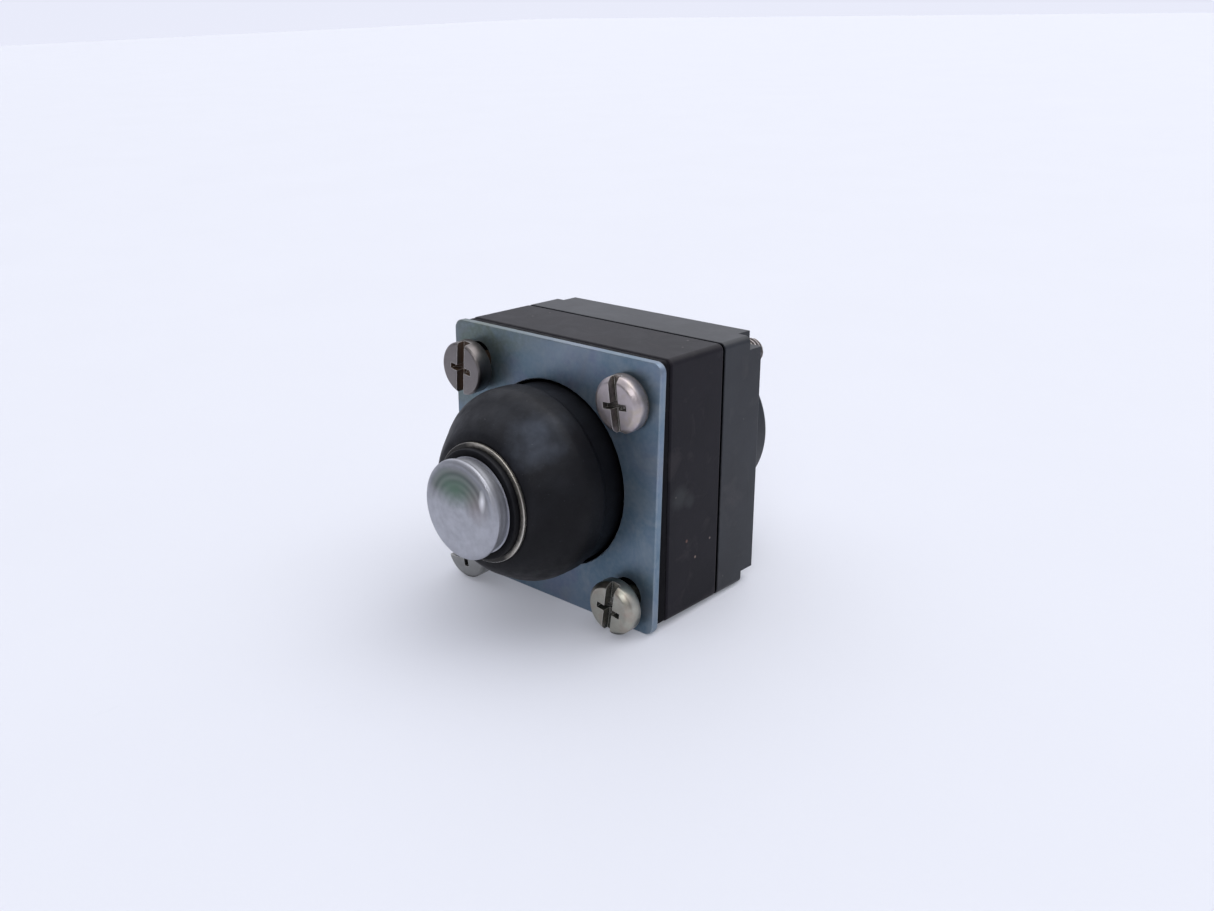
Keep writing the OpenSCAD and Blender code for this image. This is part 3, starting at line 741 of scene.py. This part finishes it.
def build_front_housing():
    collar_low, _ = span("front_housing")
    _, bush_high = span("guide_bush")
    _, stop_high = span("stop_washer")
    collar_r, bush_hole_r = 8.5, 6.02
    obj = casing("front_housing_shell", FACE_Y, JOINT_FRONT, 0.5, 0.35)
    combine(obj, disc(collar_r, collar_low.y, FACE_Y + 1), "UNION")
    for radius, y0, y1 in (
        (bush_hole_r, collar_low.y - 1, JOINT_FRONT),
        (stop_high.x, bush_high.y - 1, JOINT_FRONT),
        (CHAMBER_R, stop_high.y + 0.1, JOINT_FRONT + 1),
    ):
        combine(obj, disc(radius, y0, y1))
    drill_screws(obj, SCREW_HOLE_R, FACE_Y - 1, JOINT_FRONT + 1)
    finish_piece(obj, FRONT_PAINT, "housing", ["front_housing"])


def build_rear_housing():
    wall, notch_w, notch_h = 1.8, 2.2, 2.0
    web_hole_r, bore_r, guide_t = 6.0, 10.0, 2.5
    _, guide_high = span("pusher_guide")
    clip_low, clip_high = span("guide_circlip")
    o_low, o_high = span("spigot_o_ring")
    spring_end = span("return_spring")[1].y
    obj = casing("rear_housing_shell", JOINT_BACK, 0.0, 0.15, 0.15)
    inner = [(y, round_rect(BODY_W - 2 * wall, BODY_H - 2 * wall, BODY_CORNER / 2, BODY_Z))
             for y in (SKIRT_FLOOR, 1.0)]
    combine(obj, loft("tool", inner))
    for sx, sz in CORNERS.values():
        x, z = sx * BODY_W / 2, BODY_Z + sz * BODY_H / 2
        combine(obj, box_tool(x - notch_w, x + notch_w, SKIRT_FLOOR, 1.0, z - notch_h, z + notch_h))
    spigot = lathe("tool", rounded([
        (0, SKIRT_FLOOR - 1, 0),
        (SPIGOT_R + 0.2, SKIRT_FLOOR - 1, 0),
        (SPIGOT_R + 0.2, -0.4, 0),
        (SPIGOT_R, -0.2, 0),
        (SPIGOT_R, o_low.y - 0.2, 0.12),
        (SPIGOT_R - 2, o_low.y - 0.2, 0.2),
        (SPIGOT_R - 2, o_high.y + 0.2, 0.2),
        (SPIGOT_R, o_high.y + 0.2, 0.12),
        (SPIGOT_R, SPIGOT_END, 0.7),
        (0, SPIGOT_END, 0),
    ]))
    combine(obj, spigot, "UNION")
    bore = lathe("tool", rounded([
        (0, JOINT_BACK - 1, 0),
        (CHAMBER_R, JOINT_BACK - 1, 0),
        (CHAMBER_R, spring_end, 0),
        (web_hole_r, spring_end, 0),
        (web_hole_r, guide_high.y - guide_t, 0),
        (bore_r, guide_high.y - guide_t, 0),
        (bore_r, clip_low.y, 0),
        (clip_high.x, clip_low.y, 0),
        (clip_high.x, clip_high.y, 0),
        (bore_r, clip_high.y, 0),
        (bore_r, SPIGOT_END - 0.35, 0),
        (bore_r + 0.4, SPIGOT_END + 0.05, 0),
        (bore_r + 0.4, SPIGOT_END + 1, 0),
        (0, SPIGOT_END + 1, 0),
    ]))
    combine(obj, bore)
    drill_screws(obj, CAPTIVE_HOLE_R, JOINT_BACK - 1, 1.0, screw_lean((JOINT_BACK + SKIRT_FLOOR) / 2))
    drill_screws(obj, SCREW_HOLE_R + SKIRT_RELIEF, SKIRT_FLOOR, 1.0)
    finish_piece(obj, REAR_PAINT, "housing", ["rear_housing"])


def build_gaskets():
    joint_w, joint_h = body_high.x - body_low.x, body_high.z - body_low.z
    joint = sheet("housing_gasket_sheet",
                  lambda inset: round_rect(joint_w - 2 * inset, joint_h - 2 * inset, 1.2 - inset, BODY_Z),
                  [(0, 0, CHAMBER_R + 0.2)] + screw_holes(SCREW_HOLE_R), JOINT_FRONT, JOINT_BACK, 0.1)
    finish_piece(joint, SEAL, "housing", ["housing_gasket"])
    seat_w, seat_h = gasket_high.x - gasket_low.x, gasket_high.z - gasket_low.z
    seat = sheet("mounting_gasket_sheet",
                 lambda inset: round_rect(seat_w - 2 * inset, seat_h - 2 * inset, 0.8 - inset, BODY_Z),
                 [(0, 0, SPIGOT_R + 0.5)] + screw_holes(SCREW_HOLE_R), SKIRT_FLOOR, gasket_high.y, 0.15)
    finish_piece(seat, SEAL, "housing", ["mounting_gasket"])
    o_low, o_high = span("spigot_o_ring")
    cord = (o_high.y - o_low.y) / 2
    mid_r, mid_y = o_high.x - cord, (o_low.y + o_high.y) / 2
    ring = [(mid_r + cord * math.cos(a), mid_y + cord * math.sin(a))
            for a in (2 * math.pi * k / 24 for k in range(24))]
    finish_piece(lathe("spigot_o_ring_cord", ring), SEAL, "housing", ["spigot_o_ring"])


# ---- Head screws ----

THREAD_PITCH = 0.7
THREAD_DEPTH = 0.40
THREAD_LEN = 4.6
SHANK_ROOT = -0.6


def thread_height(phase):
    """Height of a metric thread, 0 at its root and 1 at its crest, over one turn of phase."""
    root, crest = 0.25, 0.125
    flank = (1 - root - crest) / 2
    p = phase % 1.0
    if p < root:
        return 0.0
    if p < root + flank:
        return (p - root) / flank
    if p < root + flank + crest:
        return 1.0
    return 1.0 - (p - root - flank - crest) / flank


def build_shank(length):
    """Screw shank along +Y from just inside the head, with a cut thread at its end."""
    around, step = 48, THREAD_PITCH / 14
    start = length - THREAD_LEN
    run_out = 0.3
    verts, faces = [(0, SHANK_ROOT, 0)], []
    count = int((length - start + run_out) / step)
    levels = [SHANK_ROOT, start - 0.4] + [start - run_out + i * step for i in range(count)] + [length]
    for y in levels:
        for k in range(around):
            a = 2 * math.pi * k / around
            r = SHANK_R
            if y > start - 0.35:
                lead = min(1.0, max(0.0, (y - start + run_out) / 0.5))
                tip = min(1.0, max(0.0, (length - y) / 0.5))
                height = thread_height(y / THREAD_PITCH - k / around)
                full = THREAD_R - THREAD_DEPTH * (1 - height)
                r = SHANK_R + (full - SHANK_R) * lead
                r = min(r, THREAD_R - 0.55 * (1 - tip))
            verts.append((r * math.cos(a), y, r * math.sin(a)))
    for s in range(len(levels) - 1):
        for k in range(around):
            n = (k + 1) % around
            a, b = 1 + s * around, 1 + (s + 1) * around
            faces.append((a + k, a + n, b + n, b + k))
    last = 1 + (len(levels) - 1) * around
    verts.append((0, length, 0))
    for k in range(around):
        n = (k + 1) % around
        faces.append((0, 1 + k, 1 + n))
        faces.append((len(verts) - 1, last + n, last + k))
    return make_object("tool", verts, faces)


def wing_tool(angle):
    """One through wing of the cross recess: narrow, and deepest in the middle."""
    reach, half, middle, front = 2.1, 0.46, 0.6, -SCREW_HEAD_H - 0.4
    shallow, deep = -SCREW_HEAD_H + 0.9, -SCREW_HEAD_H + 1.9
    bottom = [(-reach, shallow), (-middle, deep), (middle, deep), (reach, shallow)]
    side = [(-reach, front)] + bottom + [(reach, front)]
    verts = [(x, y, z) for z in (-half, half) for x, y in side]
    n = len(side)
    faces = [tuple(range(n)), tuple(range(n, 2 * n))]
    faces += [(k, (k + 1) % n, (k + 1) % n + n, k + n) for k in range(n)]
    return turn(make_object("tool", verts, faces), angle)


def build_head_screw(name, x, z, under_y, tip_y, angle, edge):
    """One captive screw: cylindrical head with a slot, a cross and a softened face edge."""
    h, r = SCREW_HEAD_H, SCREW_HEAD_R
    head = lathe(name, rounded([
        (0, -h - 0.02, 0),
        (r * 0.5, -h - 0.01, 0.5),
        (r - edge, -h + 0.02, edge * 0.8),
        (r - 0.02, -h + edge, edge * 0.8),
        (r, -0.3, 0),
        (r - 0.2, 0, 0.1),
        (0, 0, 0),
    ]), 128)
    combine(head, box_tool(-SLOT_W / 2, SLOT_W / 2, -h - 1, -h + SLOT_DEPTH, -r - 1, r + 1))
    combine(head, wing_tool(0))
    combine(head, wing_tool(90))
    combine(head, build_shank(tip_y - under_y), "UNION")
    move(turn(head, angle), 0, under_y - 0.15 - SCREW_PIVOT_Y, 0)
    c, s = math.cos(SCREW_TILT), math.sin(SCREW_TILT)
    for v in head.data.vertices:
        v.co = Vector((v.co.x, v.co.y * c - v.co.z * s, v.co.y * s + v.co.z * c))
    return move(head, x, SCREW_PIVOT_Y, z)


def build_head_screws():
    looks = {
        "upper_left": (8, 0.3, RUSTY_SCREW),
        "upper_right": (-5, 0.7, PALE_SCREW),
        "lower_left": (82, 0.3, DULL_SCREW),
        "lower_right": (10, 0.7, OLIVE_SCREW),
    }
    for name, x, z, under_y, tip_y in screw_places():
        angle, edge, material = looks[name]
        obj = build_head_screw("head_screw_" + name, x, z, under_y, tip_y, angle, edge)
        finish_piece(obj, material, "housing", ["head_screws"])


# ---- Boot ----

BOOT_R = 14.15
BOOT_WALL = 1.6
SHOULDER_R = 5.0
CONE_ANGLE = math.radians(42)
NECK_R = 13.6


def arc(r, y, radius, a0, a1, steps):
    """Points about a centre in (radius, y); angle 0 points outward, 90 forward."""
    angles = (math.radians(a0 + (a1 - a0) * i / steps) for i in range(steps + 1))
    return [(r + radius * math.cos(a), y - radius * math.sin(a)) for a in angles]


def build_boot():
    """Dome of the boot, from the lip behind the cap to its root behind the plate."""
    shoulder_y = PLATE_FRONT - 6.4
    shoulder_rr = BOOT_R - SHOULDER_R
    heel_r, heel_y = 1.0, PLATE_FRONT - 4.3
    cone_deg = math.degrees(CONE_ANGLE)
    cone_r = shoulder_rr + SHOULDER_R * math.cos(CONE_ANGLE)
    cone_y = shoulder_y - SHOULDER_R * math.sin(CONE_ANGLE)
    ring_back = ring_high.y + 0.02
    ring_front = ring_low.y - 0.02
    cone_end_r = cone_r - (cone_y - ring_back) * math.tan(CONE_ANGLE)
    nose_y, nose_r = boot_low.y, 7.95
    groove_r = 7.0
    clear_r = ring_high.x + 0.4
    inner = SHOULDER_R - BOOT_WALL
    inner_y = cap_high.y
    inner_cone_r = shoulder_rr + inner * math.cos(CONE_ANGLE)
    inner_cone_y = shoulder_y - inner * math.sin(CONE_ANGLE)
    inner_r = inner_cone_r - (inner_cone_y - inner_y) * math.tan(CONE_ANGLE)
    hub_r = 4.02
    nose = rounded([
        (hub_r, inner_y, 0),
        (hub_r, nose_y, 0.2),
        (nose_r, nose_y, 0.25),
        (nose_r, ring_front, 0.1),
        (groove_r, ring_front, 0),
        (groove_r, ring_back, 0),
        (cone_end_r + 0.1, ring_back, 0),
    ])
    fullness = 0.45
    slope = [(cone_end_r + (cone_r - cone_end_r) * t + fullness * math.sin(math.pi * t ** 0.6),
              ring_back + (cone_y - ring_back) * t) for t in (0.12, 0.25, 0.4, 0.55, 0.7, 0.85)]
    outer = nose + slope + arc(shoulder_rr, shoulder_y, SHOULDER_R, cone_deg, 0, 22)
    outer += [(BOOT_R, shoulder_y + (heel_y - shoulder_y) * t) for t in (0.25, 0.5, 0.75)]
    outer += arc(BOOT_R - heel_r, heel_y, heel_r, 0, -60, 8)
    outer += [(NECK_R, heel_y + 1.2 * heel_r), (NECK_R, PLATE_FRONT), (NECK_R, PLATE_BACK + 0.3)]
    back = [(NECK_R - BOOT_WALL, PLATE_BACK + 0.3), (NECK_R - BOOT_WALL, PLATE_FRONT),
            (NECK_R - BOOT_WALL, heel_y + heel_r), (BOOT_R - BOOT_WALL, heel_y)]
    back += arc(shoulder_rr, shoulder_y, inner, 0, cone_deg, 14)
    back += [((inner_cone_r + inner_r) / 2, (inner_cone_y + inner_y) / 2), (inner_r, inner_y)]
    obj = lathe("boot_dome", outer + back, 192)
    for v in obj.data.vertices:
        place = v.co / MM
        radial = Vector((place.x, 0, place.z))
        if radial.length > clear_r and place.y < PLATE_FRONT - 1:
            swell = noise.noise(place * 0.16) * 0.10 + noise.noise(place * 0.6) * 0.018
            v.co += radial.normalized() * swell * MM
    droop(obj)
    finish_piece(obj, BOOT, None, ["boot"], weighted=False)
    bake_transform(obj)


def build_boot_flange():
    w, h = boot_high.x - boot_low.x, boot_high.z - boot_low.z
    screws = screw_holes(SHANK_R + FLANGE_HOLE_GAP, screw_lean((PLATE_BACK + FACE_Y) / 2))
    obj = sheet("boot_flange", lambda inset: round_rect(w - 2 * inset, h - 2 * inset, 0.9 - inset, BODY_Z),
                [(0, 0, NECK_R - BOOT_WALL)] + screws, PLATE_BACK + 0.02, FACE_Y, 0.3)
    finish_piece(obj, SEAL, "housing", ())


# ---- Plunger and springs ----

def build_plunger():
    cap_r = (cap_high.x - cap_low.x) / 2
    face, dome, edge = cap_low.y, 0.15, 0.65
    back = boot_low.y - 0.02
    flat_r = cap_r - edge
    dome_r = (flat_r ** 2 + dome ** 2) / (2 * dome)
    steps = 14
    top = [(r, face + dome_r - math.sqrt(dome_r ** 2 - r ** 2))
           for r in (flat_r * i / steps for i in range(steps + 1))]
    rim = [(flat_r + edge * math.sin(math.radians(a)), face + dome + edge * (1 - math.cos(math.radians(a))))
           for a in range(10, 91, 10)]
    hub_r, bore_r, bore_y = 4.0, 2.52, cap_high.y - 5.0
    hub = rounded([
        (cap_r, back, 0.06),
        (hub_r, back, 0),
        (hub_r, cap_high.y, 0.1),
        (bore_r, cap_high.y, 0),
        (bore_r, bore_y, 0),
        (0, bore_y, 0),
    ])
    cap = droop(lathe("plunger_cap_turned", top + rim + hub, 192))
    finish_piece(cap, CAP, "plunger", ["plunger_cap"])
    ring_bore_r = 7.02
    ring = droop(lathe("boot_clamp_ring_turned", rounded([
        (ring_bore_r, ring_low.y, 0.05),
        (ring_high.x, ring_low.y, 0.12),
        (ring_high.x, ring_high.y, 0.12),
        (ring_bore_r, ring_high.y, 0.05),
    ]), 192))
    finish_piece(ring, RING, "plunger", ["boot_clamp_ring"])


def build_springs():
    for node, joint, wire, turns in (("return_spring", "plunger_slide", 1.2, 6.5),
                                     ("pusher_spring", "pusher_slide", 0.6, 6.5)):
        low, high = span(node)
        length = high.y - low.y
        radius = (high.x - low.x - wire) / 2
        obj = coil(node + "_wire", low.y, length, radius, wire, turns)
        finish_piece(obj, SPRING, "housing", [node], weighted=False)
        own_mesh(obj)


def dress_cad_nodes():
    """Materials for the CAD pieces whose shape is right as it is."""
    finishes = {
        "plunger_rod": ROD, "seal_retainer": ROD, "locating_pins": ROD, "spring_seat": BRASS,
        "guide_bush": BRONZE, "rod_circlip": CLIP, "guide_circlip": CLIP, "wiper_seal": SEAL,
        "stop_washer": NYLON, "pusher_guide": NYLON, "pusher": ACETAL, "housing_screws": SCREW,
    }
    for node, material in finishes.items():
        data = frame["nodes"][node].data
        data.materials.clear()
        data.materials.append(material)


# ---- Floor, light and camera ----

def build_stage():
    """Pale floor that touches the plate's lower edge and the casing's back edge."""
    front_z, back_z = plate_low.z, rear_low.z
    tilt = (back_z - front_z) / (0 - PLATE_FRONT)
    half = 3000
    verts = [(x, y, front_z + (y - PLATE_FRONT) * tilt) for x, y in
             ((-half, -half), (half, -half), (half, half), (-half, half))]
    floor = make_object("floor", verts, [(0, 1, 2, 3)])
    f = Finish("floor_paper")
    tone = f.mix(f.noise(0.02, 4, 0.6), (0.565, 0.578, 0.628), (0.590, 0.603, 0.655))
    mark = f.range(f.noise(0.25, 5, 0.7, stretch=(1.0, 0.3, 1.0)), 0.70, 0.76, 0.0, 0.12)
    f.set(Base_Color=f.mix(mark, tone, (0.42, 0.44, 0.50)), Roughness=0.6, Specular_IOR_Level=0.2,
          Emission_Color=(0.838, 0.860, 0.960, 1.0), Emission_Strength=0.21,
          Normal=f.bump(f.noise(0.8, 4), 0.02))
    floor.data.materials.append(f.material)


def build_world():
    """Studio surround: bright overhead, dim behind the camera but for one window, even paper behind."""
    world = bpy.data.worlds.new("studio")
    bpy.context.scene.world = world
    world.use_nodes = True
    tree = world.node_tree
    place = tree.nodes.new("ShaderNodeTexCoord").outputs["Generated"]

    def along(direction, low, high):
        dot = tree.nodes.new("ShaderNodeVectorMath")
        dot.operation = "DOT_PRODUCT"
        tree.links.new(place, dot.inputs[0])
        dot.inputs[1].default_value = Vector(direction).normalized()
        ramp = tree.nodes.new("ShaderNodeMapRange")
        ramp.interpolation_type = "SMOOTHSTEP"
        tree.links.new(dot.outputs["Value"], ramp.inputs["Value"])
        ramp.inputs["From Min"].default_value = low
        ramp.inputs["From Max"].default_value = high
        return ramp.outputs["Result"]

    def blend_colour(factor, a, b):
        node = tree.nodes.new("ShaderNodeMix")
        node.data_type = "RGBA"
        tree.links.new(factor, node.inputs[0])
        for socket, value in ((node.inputs[6], a), (node.inputs[7], b)):
            if isinstance(value, tuple):
                socket.default_value = (*value, 1.0)
            else:
                tree.links.new(value, socket)
        return node.outputs[2]

    sides = blend_colour(along((-0.35, 1.0, 0.0), -0.55, 0.45), (0.20, 0.205, 0.22), (0.50, 0.52, 0.62))
    sky = blend_colour(along((-0.15, 0.35, 1.0), 0.30, 0.80), sides, (1.15, 1.16, 1.22))
    window = blend_colour(along((0.43, -0.69, 0.58), 0.975, 0.990), sky, (5.0, 5.0, 5.1))
    seen = tree.nodes.new("ShaderNodeLightPath").outputs["Is Camera Ray"]
    backdrop = blend_colour(seen, window, (0.820, 0.840, 0.960))
    tree.links.new(backdrop, tree.nodes["Background"].inputs["Color"])


def build_lights():
    build_world()
    data = bpy.data.lights.new("overhead", "SUN")
    data.energy = 0.8
    data.angle = math.radians(50)
    data.color = (1.0, 0.99, 0.97)
    lamp = bpy.data.objects.new("overhead", data)
    bpy.context.scene.collection.objects.link(lamp)
    lamp.rotation_euler = Vector((0.20, 0.45, 1.0)).to_track_quat("Z", "Y").to_euler()


def build_camera():
    azimuth, elevation, roll = math.radians(41.62), math.radians(19.38), math.radians(0.136)
    distance, shift_right, shift_up = 175.4, 8.17, 2.57
    back = Vector((math.sin(azimuth) * math.cos(elevation), -math.cos(azimuth) * math.cos(elevation),
                   math.sin(elevation)))
    right = Vector((math.cos(azimuth), math.sin(azimuth), 0))
    up = back.cross(right)
    target = Vector((0, PLATE_FRONT, 0)) + right * shift_right + up * shift_up
    data = bpy.data.cameras.new("camera")
    data.sensor_width = 36
    data.lens = 35.49
    data.clip_start = 0.005
    camera = bpy.data.objects.new("camera", data)
    bpy.context.scene.collection.objects.link(camera)
    camera.location = (target + back * distance) * MM
    camera.rotation_euler = back.to_track_quat("Z", "Y").to_euler()
    camera.rotation_euler.rotate_axis("Z", roll)
    bpy.context.scene.camera = camera


build_front_plate()
build_front_housing()
build_rear_housing()
build_gaskets()
build_head_screws()
build_boot()
build_boot_flange()
build_plunger()
build_springs()
dress_cad_nodes()
build_stage()
build_lights()
build_camera()
bpy.context.scene.view_settings.view_transform = "Standard"
